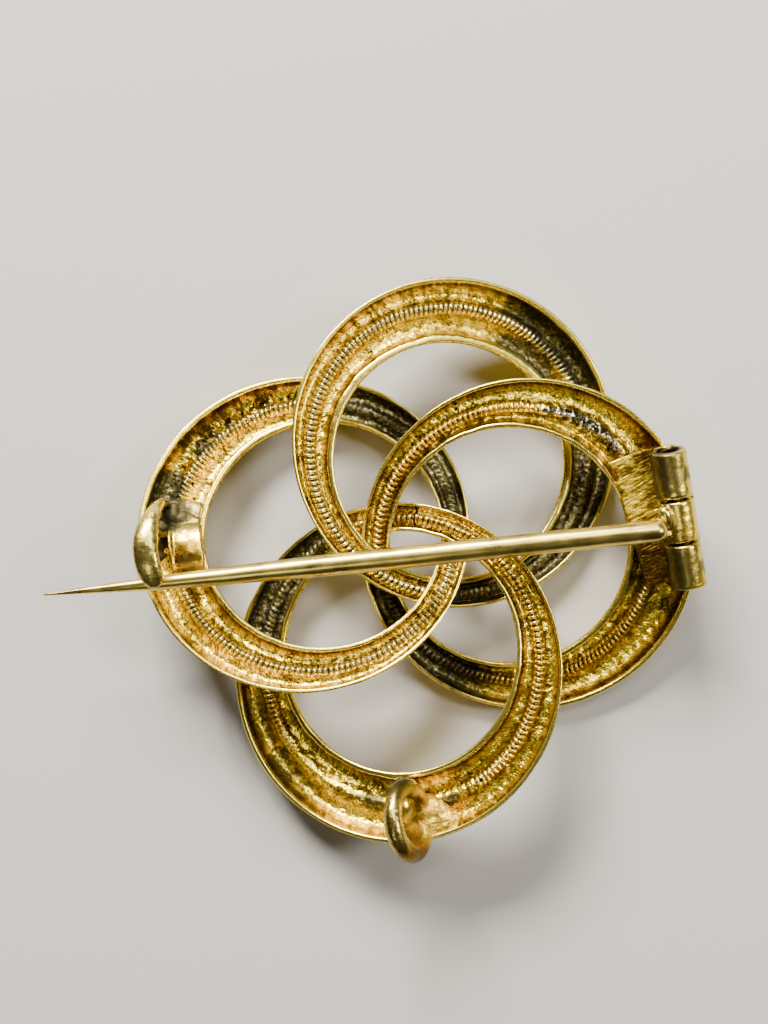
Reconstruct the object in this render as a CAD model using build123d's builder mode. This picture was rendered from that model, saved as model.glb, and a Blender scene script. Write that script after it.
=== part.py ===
from build123d import *
import math
import os

# A love-knot brooch lying face down: +Z is its back, +X its hinge side.
# Lengths are in millimetres and angles in degrees.

# The four rings, each a crescent of thin sheet
ring_radius = 8.85
wide_band = 3.59
narrow_band = 1.51
sheet = 0.22
ring_tilt = 12.8
wide_depth = 1.35
narrow_depth = 0.46

# A ring's section: how far the groove comes up, as a share of the depth there,
# and the bead on the ridge, as shares of the width there
groove_share = 0.6
bead_width = 0.17
bead_rise = 0.055
section_step = 22.5

# Where each ring lies about the knot's middle: its bearing, its centre's distance
# as a share of the ring's radius, and its lift as a share of the narrow depth,
# which lets each ring lie on the next where they cross
ring_places = {
    "top": {"bearing": 71.0, "reach": 0.684, "lift": 0.10},
    "left": {"bearing": 168.9, "reach": 0.720, "lift": 0.0},
    "bottom": {"bearing": 256.3, "reach": 0.733, "lift": 0.22},
    "right": {"bearing": 0.9, "reach": 0.641, "lift": -0.10},
}

# Hinge on the right ring: a plate with a barrel of three knuckles along it
hinge_inset = 1.3
hinge_along = 1.5
hinge_lean = 8.7
barrel_radius = 0.93
barrel_bore = 0.46
far_knuckle = 2.6
middle_knuckle = 2.1
near_knuckle = 2.3
knuckle_gap = 0.16
plate_thickness = 0.45
plate_sink = 0.08
plate_width = 2.9
turning_gap = 0.08
seat_width = 1.1
rivet_clearance = 0.03
rivet_recess = 0.45

# The hinge plate's corners, as shares of its width towards the middle of the
# knot and of half the barrel's length
plate_corners = [
    {"east": -1.0, "north": 0.90},
    {"east": -0.35, "north": 1.0},
    {"east": 0.20, "north": 0.96},
    {"east": 0.40, "north": 0.25},
    {"east": 0.40, "north": -0.40},
    {"east": 0.20, "north": -0.93},
    {"east": -0.69, "north": -0.95},
]

# Pin wire, from its round end on the middle knuckle to its point
pin_radius = 0.56
pin_straight = 17.0
pin_catch_radius = 0.37
pin_past_catch = 5.6
point_length = 4.6
point_shoulder = 0.3
point_radius = 0.05
pin_setback = 1.4
pin_along = 0.3
pin_rise = 1.21
tab_length = 1.0
tab_depth = 1.05

# Catch on the left ring: a bent band over the pin, on a foot across the ring, with
# a plate beside it on the ring's inner rim
catch_inset = 1.83
catch_along = 4.84
catch_height = 1.2
hook_width = 1.25
hook_thickness = 0.5
hook_edge = 0.28
hook_radius = 2.85
hook_clearance = 0.1
hook_slant = 45.0
hook_tip_angle = 113.0
hook_skew = -2.0
hook_setback = 0.27
foot_length = 1.3
foot_thickness = 0.3
foot_sink = 0.08
catch_plate_angle = 21.0
catch_plate_width = 1.9
catch_plate_length = 2.8

# Safety loop on the bottom ring, and the solder that holds it
loop_angle = 25.1
loop_inset = 1.2
loop_radius = 1.6
loop_wire = 0.48
loop_lean = 14.0
loop_turn = -2.2
loop_sink = 0.25
solder_angle = 29.0
solder_radius = 0.95
solder_depth = 0.6
solder_height = 0.85
solder_taper = 25.0

# The hole is a circle set off centre, towards the ring's narrow side
hole_radius = ring_radius - (wide_band + narrow_band) / 2
hole_shift = (wide_band - narrow_band) / 2

# Plane that the rings' rims cross at the middle of each ring
back = Plane.XY


def turned(plane, about_x=0, about_y=0, about_z=0):
    """The plane turned about its own axes, with its origin where it was."""
    return Plane(plane.location * Location((0, 0, 0), (about_x, about_y, about_z)))


def moved_to(plane, x, y, z):
    """The plane with its origin at a point given in its own axes."""
    return Plane(plane.from_local_coords((x, y, z)), plane.x_dir, plane.z_dir)


def ring_home(side):
    """Plane of a ring's rims: x points away from the knot, z out of its back."""
    place = ring_places[side]
    flat = turned(back, about_z=place["bearing"])
    centre = moved_to(flat, place["reach"] * ring_radius, 0, place["lift"] * narrow_depth)
    return turned(centre, about_x=ring_tilt)


def band_width(angle):
    """Width of the crescent, from its rim to its hole, at an angle from its widest place."""
    turn = math.radians(angle)
    across = math.sqrt(hole_radius**2 - (hole_shift * math.sin(turn)) ** 2)
    return ring_radius + hole_shift * math.cos(turn) - across


def band_depth(width):
    """Depth of the section, from the rims to the front, where the band is this wide."""
    share = (width - narrow_band) / (wide_band - narrow_band)
    return narrow_depth + share * (wide_depth - narrow_depth)


def section_plane(angle):
    """Plane across the band: x runs from the outer rim inwards, y out of the back."""
    radial = turned(Plane.XY, about_z=angle)
    rim = radial.from_local_coords((ring_radius, 0, 0))
    return Plane(origin=rim, x_dir=-radial.x_dir, z_dir=radial.y_dir)


# One crescent: half of it lofted from its widest to its narrowest place
with BuildPart() as crescent:
    for step in range(round(180 / section_step) + 1):
        width = band_width(step * section_step)
        middle = width / 2
        depth = band_depth(width)
        groove = depth * groove_share
        bead = bead_width * width / 2
        with BuildSketch(section_plane(step * section_step)):
            with BuildLine():
                ThreePointArc((0, 0), (middle / 2, -depth), (middle, -groove))
                ThreePointArc((middle, -groove), (width - middle / 2, -depth), (width, 0))
                Line((width, 0), (width - sheet, 0))
                ThreePointArc(
                    (width - sheet, 0),
                    (width - middle / 2, sheet - depth),
                    (middle + bead, sheet - groove),
                )
                ThreePointArc(
                    (middle + bead, sheet - groove),
                    (middle, sheet - groove + bead_rise * width),
                    (middle - bead, sheet - groove),
                )
                ThreePointArc(
                    (middle - bead, sheet - groove),
                    (middle / 2, sheet - depth),
                    (sheet, 0),
                )
                Line((sheet, 0), (0, 0))
            make_face()
    loft()
    mirror(about=Plane.XZ)


# Top ring, which carries nothing
with BuildPart() as top_ring:
    with Locations(ring_home("top").location):
        add(crescent.part)
top_ring.part.label = "top_ring"


# Places of the hinge: its seat on the rims, and the plane across the barrel's far
# end, whose z runs along the barrel towards its near end
hinge_seat = turned(
    moved_to(ring_home("right"), ring_radius - hinge_inset, hinge_along, 0),
    about_z=hinge_lean,
)
plate_top = plate_thickness - plate_sink
axis_height = plate_top + turning_gap + barrel_radius
barrel_length = far_knuckle + middle_knuckle + near_knuckle + 2 * knuckle_gap
middle_start = far_knuckle + knuckle_gap
near_start = middle_start + middle_knuckle + knuckle_gap
barrel_middle = moved_to(hinge_seat, 0, 0, axis_height)
barrel_end = Plane(
    origin=barrel_middle.from_local_coords((0, barrel_length / 2, 0)),
    x_dir=hinge_seat.x_dir,
    z_dir=-hinge_seat.y_dir,
)

# Right ring, with the hinge plate and the two outer knuckles soldered on
with BuildPart() as hinge_ring:
    with Locations(ring_home("right").location):
        add(crescent.part)
    with BuildSketch(hinge_seat.offset(-plate_sink)):
        with BuildLine():
            Polyline(
                [
                    (corner["east"] * plate_width, corner["north"] * barrel_length / 2)
                    for corner in plate_corners
                ],
                close=True,
            )
        make_face()
    extrude(amount=plate_thickness)
    for start, length in ((0, far_knuckle), (near_start, near_knuckle)):
        with BuildSketch(barrel_end.offset(start)):
            Circle(barrel_radius)
            with Locations((0, -(axis_height + barrel_bore) / 2)):
                Rectangle(seat_width, axis_height - barrel_bore)
            Circle(barrel_bore, mode=Mode.SUBTRACT)
        extrude(amount=length)
hinge_ring.part.label = "hinge_ring"


# Hidden wire through the knuckles
with BuildPart() as hinge_rivet:
    with BuildSketch(barrel_end.offset(rivet_recess)):
        Circle(barrel_bore - rivet_clearance)
    extrude(amount=barrel_length - 2 * rivet_recess)
hinge_rivet.part.label = "hinge_rivet"


# The pin runs from its seat on the middle knuckle to the place under the catch
pin_start = barrel_middle.from_local_coords((-pin_setback, -pin_along, pin_rise))
pin_at_catch = ring_home("left").from_local_coords(
    (ring_radius - catch_inset, catch_along, catch_height)
)
pin_aim = pin_at_catch - pin_start
pin_run = pin_aim.length
pin_length = pin_run + pin_past_catch
pin_side = back.z_dir.cross(pin_aim)
pin_plane = Plane(origin=pin_start, x_dir=pin_aim, z_dir=pin_aim.cross(pin_side))

# Middle knuckle with the pin wire: round end, straight part, taper and point
with BuildPart() as pin_stem:
    with BuildSketch(barrel_end.offset(middle_start)):
        Circle(barrel_radius)
        Circle(barrel_bore, mode=Mode.SUBTRACT)
    extrude(amount=middle_knuckle)
    with BuildSketch(barrel_end.offset(barrel_length / 2 + pin_along - tab_length / 2)):
        with BuildLine():
            Polyline(
                (-pin_setback, pin_rise),
                (-pin_setback, pin_rise - tab_depth),
                (-barrel_radius, 0),
                (0, barrel_radius),
                close=True,
            )
        make_face()
        Circle(barrel_bore, mode=Mode.SUBTRACT)
    extrude(amount=tab_length)
    with BuildSketch(pin_plane):
        with BuildLine():
            CenterArc((0, 0), pin_radius, 90, 90)
            Polyline(
                (0, pin_radius),
                (pin_straight, pin_radius),
                (pin_run, pin_catch_radius),
                (pin_length - point_length, point_shoulder),
                (pin_length - point_radius, point_radius),
            )
            RadiusArc(
                (pin_length - point_radius, point_radius),
                (pin_length, 0),
                point_radius,
            )
            Line((pin_length, 0), (-pin_radius, 0))
        make_face()
    revolve(axis=Axis(pin_plane.origin, pin_plane.x_dir))
pin_stem.part.label = "pin_stem"


# The hook bends about a line below and beside the pin, so that the band's inside
# clears the pin by the hook's clearance; its x points away from the hook's mouth,
# and its z towards the hinge, the way that the hook is set back
hook_plane = turned(
    Plane(origin=pin_at_catch, x_dir=-pin_side, z_dir=back.z_dir.cross(pin_side)),
    about_y=hook_skew,
)
hook_offset = hook_radius - hook_thickness / 2 - hook_clearance - pin_catch_radius
slant = math.radians(hook_slant)
hook_middle = moved_to(
    hook_plane, hook_offset * math.cos(slant), -hook_offset * math.sin(slant), hook_setback
)
hook_inside = hook_radius - hook_thickness / 2
hook_outside = hook_radius + hook_thickness / 2
hook_shoulder = hook_inside + hook_edge


def across_hook(angle):
    """Plane across the hook's band: x runs out from the bend's middle, y along the width."""
    radial = turned(hook_middle, about_z=angle)
    return Plane(origin=radial.origin, x_dir=radial.x_dir, z_dir=-radial.y_dir)


# Section of the hook's band: flat on the pin's side, domed outside
with BuildSketch() as hook_section:
    with BuildLine():
        Polyline(
            (hook_shoulder, hook_width / 2),
            (hook_inside, hook_width / 2),
            (hook_inside, -hook_width / 2),
            (hook_shoulder, -hook_width / 2),
        )
        ThreePointArc(
            (hook_shoulder, -hook_width / 2),
            (hook_outside, 0),
            (hook_shoulder, hook_width / 2),
        )
    make_face()


hook_tip = across_hook(hook_tip_angle)

# The hook comes down to the middle of the foot's thickness: its middle's height over
# that level, and how its own directions lean out of the ring's rims, give the angle
left_home = ring_home("left")
foot_level = left_home.from_local_coords((0, 0, foot_thickness / 2 - foot_sink))
rise_of_x = hook_middle.x_dir.dot(left_home.z_dir)
rise_of_y = hook_middle.y_dir.dot(left_home.z_dir)
fall = (foot_level - hook_middle.origin).dot(left_home.z_dir)
root_angle = math.asin(fall / (hook_radius * math.hypot(rise_of_x, rise_of_y)))
root_angle -= math.atan2(rise_of_x, rise_of_y)

# The foot stands there, and reaches from rim to rim
hook_root = left_home.to_local_coords(
    hook_middle.from_local_coords(
        (hook_radius * math.cos(root_angle), hook_radius * math.sin(root_angle), 0)
    )
)
foot_plane = moved_to(left_home, ring_radius - wide_band / 2, hook_root.Y, -foot_sink)
catch_plate_home = turned(left_home, about_z=catch_plate_angle)
catch_plate_inset = band_width(catch_plate_angle) - catch_plate_width / 2
catch_plate_plane = moved_to(catch_plate_home, ring_radius - catch_plate_inset, 0, -foot_sink)

# Left ring, with the catch soldered on
with BuildPart() as catch_ring:
    with Locations(left_home.location):
        add(crescent.part)
    with BuildSketch(foot_plane):
        Rectangle(wide_band - sheet, foot_length)
    extrude(amount=foot_thickness)
    with BuildSketch(catch_plate_plane):
        Rectangle(catch_plate_width, catch_plate_length)
    extrude(amount=foot_thickness)
    with BuildSketch(across_hook(math.degrees(root_angle))):
        add(hook_section.sketch)
    revolve(
        axis=Axis(hook_middle.origin, hook_middle.z_dir),
        revolution_arc=hook_tip_angle - math.degrees(root_angle),
    )
    with BuildSketch(hook_tip):
        add(hook_section.sketch)
        split(bisect_by=Plane.XZ)
    revolve(axis=Axis(hook_tip.origin, hook_tip.x_dir))
catch_ring.part.label = "catch_ring"


# Bottom ring, with the safety loop and its solder
loop_home = turned(ring_home("bottom"), about_z=loop_angle)
loop_base = turned(
    moved_to(loop_home, ring_radius - loop_inset, 0, -loop_sink),
    about_z=loop_turn,
)
loop_plane = turned(moved_to(turned(loop_base, about_x=loop_lean), 0, 0, loop_radius), about_x=90)
solder_home = turned(ring_home("bottom"), about_z=solder_angle)
solder_plane = moved_to(solder_home, ring_radius - loop_inset, 0, -solder_depth)
with BuildPart() as loop_ring:
    with Locations(ring_home("bottom").location):
        add(crescent.part)
    with Locations(loop_plane.location):
        Torus(loop_radius, loop_wire)
    with BuildSketch(solder_plane):
        Circle(solder_radius)
    extrude(amount=solder_height, taper=solder_taper)
loop_ring.part.label = "loop_ring"


# The brooch is moved as a whole, so that it lies on the floor with the middle of
# its box at the origin
pieces = (top_ring, catch_ring, loop_ring, hinge_ring, hinge_rivet, pin_stem)
box = Compound([piece.part for piece in pieces]).bounding_box()
down = Location((-box.center().X, -box.center().Y, -box.min.Z))

os.makedirs("parts", exist_ok=True)
for piece in pieces:
    piece.part.move(down)
    export_step(piece.part, f"parts/{piece.part.label}.step")

print("box", box.size, "moved by", down.position)
print("hinge axis", (down * Location(barrel_middle)).position, hinge_seat.y_dir)
print("pin start", (down * Location(pin_plane)).position, "direction", pin_plane.x_dir)
print("pin under the catch", pin_run, "from its start, length", pin_length)
print("safety loop", (down * Location(loop_plane)).position, loop_plane.z_dir)
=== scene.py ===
import math
from functools import partialmethod

import bmesh
import bpy
import numpy as np
from mathutils import Euler, Matrix, Vector, noise


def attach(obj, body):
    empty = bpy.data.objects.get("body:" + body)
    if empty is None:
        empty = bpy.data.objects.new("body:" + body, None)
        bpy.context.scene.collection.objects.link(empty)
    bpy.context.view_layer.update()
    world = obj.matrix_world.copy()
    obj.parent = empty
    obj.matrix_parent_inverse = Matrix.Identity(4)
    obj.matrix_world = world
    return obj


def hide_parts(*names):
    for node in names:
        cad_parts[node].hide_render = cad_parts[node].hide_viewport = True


# A gold love-knot brooch lying face down, with its pin wire, catch and safety loop.
# Shapes are drawn in millimetres and degrees, and brought to metres when a piece is done.
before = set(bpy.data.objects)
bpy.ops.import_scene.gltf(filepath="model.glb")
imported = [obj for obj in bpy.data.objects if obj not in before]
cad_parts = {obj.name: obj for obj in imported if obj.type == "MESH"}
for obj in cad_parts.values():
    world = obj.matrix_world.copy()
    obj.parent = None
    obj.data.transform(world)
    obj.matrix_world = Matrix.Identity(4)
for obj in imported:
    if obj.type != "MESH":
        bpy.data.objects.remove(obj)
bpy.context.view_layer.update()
mm = 0.001

# The four rings, as the solids have them
ring_radius = 8.85
wide_band = 3.59
narrow_band = 1.51
hole_radius = ring_radius - (wide_band + narrow_band) / 2
hole_shift = (wide_band - narrow_band) / 2
sheet = 0.22
wide_depth = 1.35
narrow_depth = 0.46
ring_tilt = 12.8
knot_middle = (2.42293, 0.593531, 2.83047)

# Node of each ring, its bearing from the knot's middle, its distance as a share of its
# radius, its lift as a share of the narrow depth, where its ridge lies across the band, the
# width of its inner rim and how silvery its rope is
rings = {
    "top": {
        "node": "top_ring", "bearing": 71.0, "reach": 0.684, "lift": 0.10,
        "ridge": 0.41, "inner_rim": 0.40, "silver": 0.9,
    },
    "left": {
        "node": "catch_ring", "bearing": 168.9, "reach": 0.720, "lift": 0.0,
        "ridge": 0.50, "inner_rim": 0.26, "silver": 0.8,
    },
    "bottom": {
        "node": "loop_ring", "bearing": 256.3, "reach": 0.733, "lift": 0.22,
        "ridge": 0.52, "inner_rim": 0.28, "silver": 0.35,
    },
    "right": {
        "node": "hinge_ring", "bearing": 0.9, "reach": 0.641, "lift": -0.10,
        "ridge": 0.60, "inner_rim": 0.26, "silver": 0.15,
    },
}

# Rope lines pressed into the ridge, and the points that draw each of them
rope_lines = 168
points_in_a_line = 8

# How far a channel's wall reaches from its rim to the ridge, and how round it is
wall_share = 0.5
wall_roundness = 2.4

# Sizes of the crescent tree that all rings share, and the names of those that are their own
shared_sizes = {
    "Ring Radius": ring_radius, "Hole Radius": hole_radius, "Hole Shift": hole_shift, "Sheet": sheet,
    "Wide Depth": wide_depth, "Narrow Depth": narrow_depth, "Outer Rim": 0.21, "Groove Share": 0.6,
    "Rope Width": 0.62, "Rope Height": 0.18, "Rope Lines": float(rope_lines), "Line Slant": 0.5,
    "Line Depth": 0.9, "Rim Waver": 0.16, "Dent Depth": 0.2, "Crease Depth": 0.12, "Crumple Depth": 1.1,
}
own_sizes = ("Inner Rim", "Ridge Share", "Seed")

# A mark that lies right across the band
rim_to_rim = {"across": 0.5, "wide": 0.9}

# Marks on each ring: degrees along the band from its widest place, share across it from
# the outer rim, how far the mark reaches along and across, and how strong it is
ring_marks = {
    "top": {
        "tarnish": [
            {"at": -30, "across": 0.20, "along": 27, "wide": 0.24, "strength": 1.0},
            {"at": -22, "across": 0.76, "along": 21, "wide": 0.22, "strength": 1.0},
            {"at": -100, "along": 34, "strength": 1.2, **rim_to_rim},
            {"at": -150, "along": 22, "strength": 0.8, **rim_to_rim},
        ],
        "worn": [{"at": -100, "along": 44, "strength": 0.9, **rim_to_rim}],
    },
    "left": {
        "crumple": [{"at": -50, "across": 0.2, "along": 30, "wide": 0.3, "strength": 1.0}],
        "tarnish": [
            {"at": -34, "across": 0.35, "along": 13, "wide": 0.16, "strength": 0.8},
            {"at": -7, "across": 0.24, "along": 8, "wide": 0.20, "strength": 1.7},
            {"at": -128, "along": 38, "strength": 1.3, **rim_to_rim},
        ],
        "pit": [
            {"at": 18, "across": 0.31, "along": 9, "wide": 0.13, "strength": 0.8},
            {"at": -13, "across": 0.60, "along": 0.8, "wide": 0.027, "strength": 1.0},
            {"at": -32, "across": 0.83, "along": 0.5, "wide": 0.018, "strength": 1.0},
        ],
        "worn": [
            {"at": -128, "along": 34, "strength": 0.7, **rim_to_rim},
            {"at": 20, "along": 15, "strength": 1.0, **rim_to_rim},
        ],
    },
    "bottom": {
        "tarnish": [
            {"at": -42, "across": 0.2, "along": 30, "wide": 0.24, "strength": 0.62},
            {"at": -112, "across": 0.4, "along": 26, "wide": 0.9, "strength": 1.2},
            {"at": 2, "across": 0.5, "along": 16, "wide": 0.16, "strength": 0.7},
            # The next mark is painted shade in a hollow of the channel.
            {"at": 36, "across": 0.47, "along": 5, "wide": 0.10, "strength": 1.0},
        ],
        "worn": [
            {"at": 5, "along": 42, "strength": 1.4, **rim_to_rim},
            {"at": -112, "along": 26, "strength": 0.8, **rim_to_rim},
        ],
        "pit": [
            {"at": -174.4, "across": 0.5, "along": 0.45, "wide": 0.7, "strength": 0.8},
            {"at": 52, "across": 0.50, "along": 0.85, "wide": 0.027, "strength": 1.0},
            {"at": -52, "across": 0.62, "along": 0.7, "wide": 0.023, "strength": 1.0},
        ],
    },
    "right": {
        "pit": [
            {"at": 115.8, "across": 0.12, "along": 0.75, "wide": 0.041, "strength": 1.2},
            {"at": 116.5, "across": 0.27, "along": 0.7, "wide": 0.032, "strength": 1.2},
            {"at": 120.0, "across": 0.20, "along": 0.55, "wide": 0.027, "strength": 1.0},
            {"at": 124.2, "across": 0.24, "along": 0.5, "wide": 0.027, "strength": 1.0},
            {"at": 134.3, "across": 0.26, "along": 0.6, "wide": 0.032, "strength": 1.2},
            {"at": 137.4, "across": 0.34, "along": 0.55, "wide": 0.032, "strength": 1.2},
        ],
        "solder": [{"at": 64, "across": 0.62, "along": 17, "wide": 0.15, "strength": 1.0}],
        "worn": [{"at": 40, "along": 46, "strength": 0.9, **rim_to_rim}],
        "tarnish": [
            {"at": -138, "along": 34, "strength": 1.0, **rim_to_rim},
            {"at": -24, "along": 14, "strength": 0.5, **rim_to_rim},
        ],
    },
}

# Hinge, pin, catch and loop, as the solids have them
hinge_inset = 1.3
hinge_along = 1.5
hinge_lean = 8.7
barrel_radius = 0.93
knuckles = {"far": 2.6, "middle": 2.1, "near": 2.3}
knuckle_gap = 0.16
barrel_length = sum(knuckles.values()) + 2 * knuckle_gap
plate_thickness = 0.45
plate_sink = 0.08
plate_width = 2.9
turning_gap = 0.08
seat_width = 1.1
axis_height = plate_thickness - plate_sink + turning_gap + barrel_radius
pin_radius = 0.56
pin_straight = 17.0
pin_catch_radius = 0.37
pin_past_catch = 5.6
point_length = 4.6
point_shoulder = 0.3
point_radius = 0.05
pin_setback = 1.4
pin_along = 0.3
pin_rise = 1.21
catch_inset = 1.83
catch_along = 4.84
catch_height = 1.2
hook_width = 1.25
hook_thickness = 0.5
hook_radius = 2.85
hook_clearance = 0.1
hook_slant = 45.0
hook_skew = -2.0
hook_setback = 0.27
loop_angle = 25.1
loop_inset = 1.2
loop_radius = 1.6
loop_wire = 0.48
loop_lean = 14.0
loop_turn = -2.2
loop_sink = 0.25
tube_wall = 0.32

# Small parts that only this script shapes
filed_edge = 0.08
lip_length = 0.62
lip_width = 0.36
lip_middle = (-0.72, 0.22, 0.74)
lip_turn = 12.0
foot_inset = wide_band / 2 + 0.2
foot_turn = 4.0
foot_tilt = 6.0
catch_plate_angle = 19.0
catch_plate_inset = 0.98
catch_plate_along = 0.32
hook_edge = 0.28
hook_dome = 0.26
hook_rounding = 0.3
web_place = (0.8, -0.25, 0.05)
web_size = (0.72, 1.15, 0.3)

# How uneven the handwork is, as shares of a size, and how far the pin wire is bent
knuckle_wear = 0.014
wire_wear = 0.03
loop_wear = 0.05
lump_wear = 0.16
wire_bend = 0.05

# Sides of the turned pieces
barrel_sides = 96
wire_sides = 48
lump_sides = 28

# Fineness of the meshes that join soldered pieces
joined_cell = 0.045
fine_cell = 0.035

# Hinge plate's corners from its seat, as shares of its width away from the knot and of half
# the barrel's length along it; the notch lies on its left edge
plate_corners = [
    {"east": -1.0, "north": 0.90},
    {"east": -0.35, "north": 1.0},
    {"east": 0.20, "north": 0.96},
    {"east": 0.40, "north": 0.25},
    {"east": 0.40, "north": -0.40},
    {"east": 0.20, "north": -0.93},
    {"east": -0.69, "north": -0.95},
    {"east": -0.80, "north": -0.10},
    {"east": -0.88, "north": 0.36},
    {"east": -0.80, "north": 0.44},
    {"east": -0.92, "north": 0.56},
    {"east": -0.86, "north": 0.68},
]

# Edges of the hook's band, as shares of its width each side of its middle line
hook_outline = [
    {"angle": -12.1, "left": 0.00, "right": 0.46},
    {"angle": 30.0, "left": 0.00, "right": 0.46},
    {"angle": 45.0, "left": 0.24, "right": 0.47},
    {"angle": 58.0, "left": 0.44, "right": 0.46},
    {"angle": 72.0, "left": 0.57, "right": 0.43},
    {"angle": 85.0, "left": 0.60, "right": 0.43},
    {"angle": 98.0, "left": 0.57, "right": 0.48},
    {"angle": 108.0, "left": 0.50, "right": 0.54},
    {"angle": 116.0, "left": 0.41, "right": 0.57},
    {"angle": 121.0, "left": 0.31, "right": 0.55},
    {"angle": 125.0, "left": 0.16, "right": 0.46},
    {"angle": 127.5, "left": -0.02, "right": 0.30},
]
hook_root_angle = hook_outline[0]["angle"]

# Heaps of solder at the safety loop: degrees along the band, inset from the outer rim,
# height over the rims and half sizes away from the knot, along the band and upwards
solder_heaps = [
    {"angle": 26.0, "inset": 1.15, "height": -0.50, "size": (1.10, 1.25, 0.80)},
    {"angle": 31.0, "inset": 0.65, "height": -0.40, "size": (0.60, 1.10, 0.45)},
    {"angle": 20.0, "inset": 1.70, "height": -0.60, "size": (0.90, 0.80, 0.60)},
]

# Heaps of solder under the catch, charted the same way
foot_heaps = [
    {"angle": 4.0, "inset": 0.90, "height": -0.22, "size": (0.65, 0.60, 0.44)},
    {"angle": 4.5, "inset": 1.60, "height": -0.30, "size": (0.70, 0.70, 0.50)},
    {"angle": 7.0, "inset": 2.30, "height": -0.30, "size": (0.80, 0.60, 0.42)},
    {"angle": 8.5, "inset": 3.00, "height": -0.30, "size": (0.55, 0.50, 0.38)},
    {"angle": 1.0, "inset": 1.9, "height": -0.45, "size": (0.90, 0.50, 0.40)},
    {"angle": 9.5, "inset": 1.25, "height": -0.40, "size": (0.55, 0.60, 0.40)},
]

# Marks on the fittings: place, how far each reaches and how strong it is. Places are in the
# directions of the ring that carries them: away from the knot, along the band and up. The
# hinge's marks are placed from its seat.
hinge_marks = {
    # Painted shade: these marks paint near black on the knuckles' left sides, on the plate beside the
    # knuckles, and on the plate below the pin wire as its painted shadow.
    "near_black": [
        {"at": (-1.1, 2.8, 1.3), "reach": 1.1, "strength": 0.55},
        {"at": (-1.1, 1.7, 1.3), "reach": 0.9, "strength": 0.5},
        {"at": (-1.1, -0.9, 1.3), "reach": 0.7, "strength": 0.7},
        {"at": (-1.0, -2.2, 1.3), "reach": 1.1, "strength": 0.6},
        {"at": (-1.0, -3.4, 1.3), "reach": 1.0, "strength": 0.5},
        {"at": (-2.0, -2.4, 0.3), "reach": 0.9, "strength": 0.45},
    ],
    # Painted highlight: the yellow marks brighten the right sides of the knuckles.
    "yellow": [
        {"at": (0.5, 2.9, 2.2), "reach": 0.7, "strength": 0.7},
        {"at": (0.5, 1.8, 2.2), "reach": 0.6, "strength": 0.7},
        {"at": (0.4, 0.3, 2.2), "reach": 0.8, "strength": 0.8},
        {"at": (0.4, -0.6, 2.2), "reach": 0.8, "strength": 0.8},
        {"at": (0.5, -3.3, 2.2), "reach": 0.9, "strength": 0.8},
        {"at": (0.4, -2.5, 2.1), "reach": 1.0, "strength": 0.6},
    ],
    # Painted highlight: the pale mark lightens the rolled lip and smooths its bump.
    "pale": [{"at": (-0.72, 0.22, 1.9), "reach": 0.7, "strength": 1.2}],
    "tarnish": [
        {"at": (-0.7, 2.6, 1.8), "reach": 1.5, "strength": 0.8},
        {"at": (-0.9, -2.6, 1.4), "reach": 1.5, "strength": 1.2},
        # The next mark darkens the plate below the pin wire: tarnish and a painted shadow of the wire.
        {"at": (-1.8, -2.6, 0.3), "reach": 1.7, "strength": 1.0},
        {"at": (-1.0, 3.6, 0.3), "reach": 0.8, "strength": 0.9},
    ],
    "orange": [{"at": (-0.7, -0.5, 1.9), "reach": 0.55, "strength": 0.9}],
}
catch_marks = {
    # Painted highlight: the pale mark lightens the middle of the hook and smooths its bump.
    "pale": [{"at": (8.3, 2.9, 1.8), "reach": 1.2, "strength": 1.4}],
    "tarnish": [
        {"at": (7.0, 4.7, 1.5), "reach": 0.8, "strength": 0.7},
        {"at": (6.6, 0.6, 0.1), "reach": 1.2, "strength": 0.8},
        {"at": (5.4, 3.5, 0.4), "reach": 0.6, "strength": 0.8},
        {"at": (5.6, 0.3, 0.1), "reach": 0.8, "strength": 1.6},
    ],
    "solder": [{"at": (7.3, 0.5, 0.1), "reach": 1.1, "strength": 0.9}],
    "yellow": [{"at": (6.1, 2.4, 0.4), "reach": 1.6, "strength": 2.5}],
    "orange": [
        {"at": (5.9, 2.9, 0.5), "reach": 1.0, "strength": 0.9},
        {"at": (5.7, 0.6, 0.1), "reach": 0.8, "strength": 0.6},
    ],
}
loop_marks = {
    "brushed": [{"at": (7.0, 4.6, 0.2), "reach": 1.6, "strength": 1.5}],
    # Painted shade: near black on the loop's wire above and below its lit middle.
    "near_black": [
        {"at": (5.2, 2.2, 2.2), "reach": 0.8, "strength": 0.5},
        {"at": (8.9, 3.5, 1.3), "reach": 1.1, "strength": 0.42},
    ],
    "yellow": [{"at": (6.9, 3.9, 0.2), "reach": 1.6, "strength": 2.0}],
    "orange": [
        {"at": (6.4, 3.3, 0.9), "reach": 1.0, "strength": 1.0},
        {"at": (7.6, 2.2, 2.2), "reach": 1.2, "strength": 0.45},
        {"at": (8.7, 3.2, 1.6), "reach": 1.3, "strength": 1.4},
    ],
    "tarnish": [{"at": (5.2, 2.2, 2.0), "reach": 1.1, "strength": 1.2}],
}


def turned(place, about_x=0.0, about_y=0.0, about_z=0.0):
    """The place turned about its own axes."""
    turns = Euler([math.radians(a) for a in (about_x, about_y, about_z)])
    return place @ turns.to_matrix().to_4x4()


def moved(place, x, y, z):
    """The place moved along its own axes."""
    return place @ Matrix.Translation((x, y, z))


def place_at(origin, x_way, z_way):
    """A place with its x and z along two directions, x kept square to z."""
    z = Vector(z_way).normalized()
    x = (Vector(x_way) - Vector(x_way).dot(z) * z).normalized()
    turn = Matrix((x, z.cross(x), z)).transposed()
    return Matrix.Translation(origin) @ turn.to_4x4()


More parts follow.
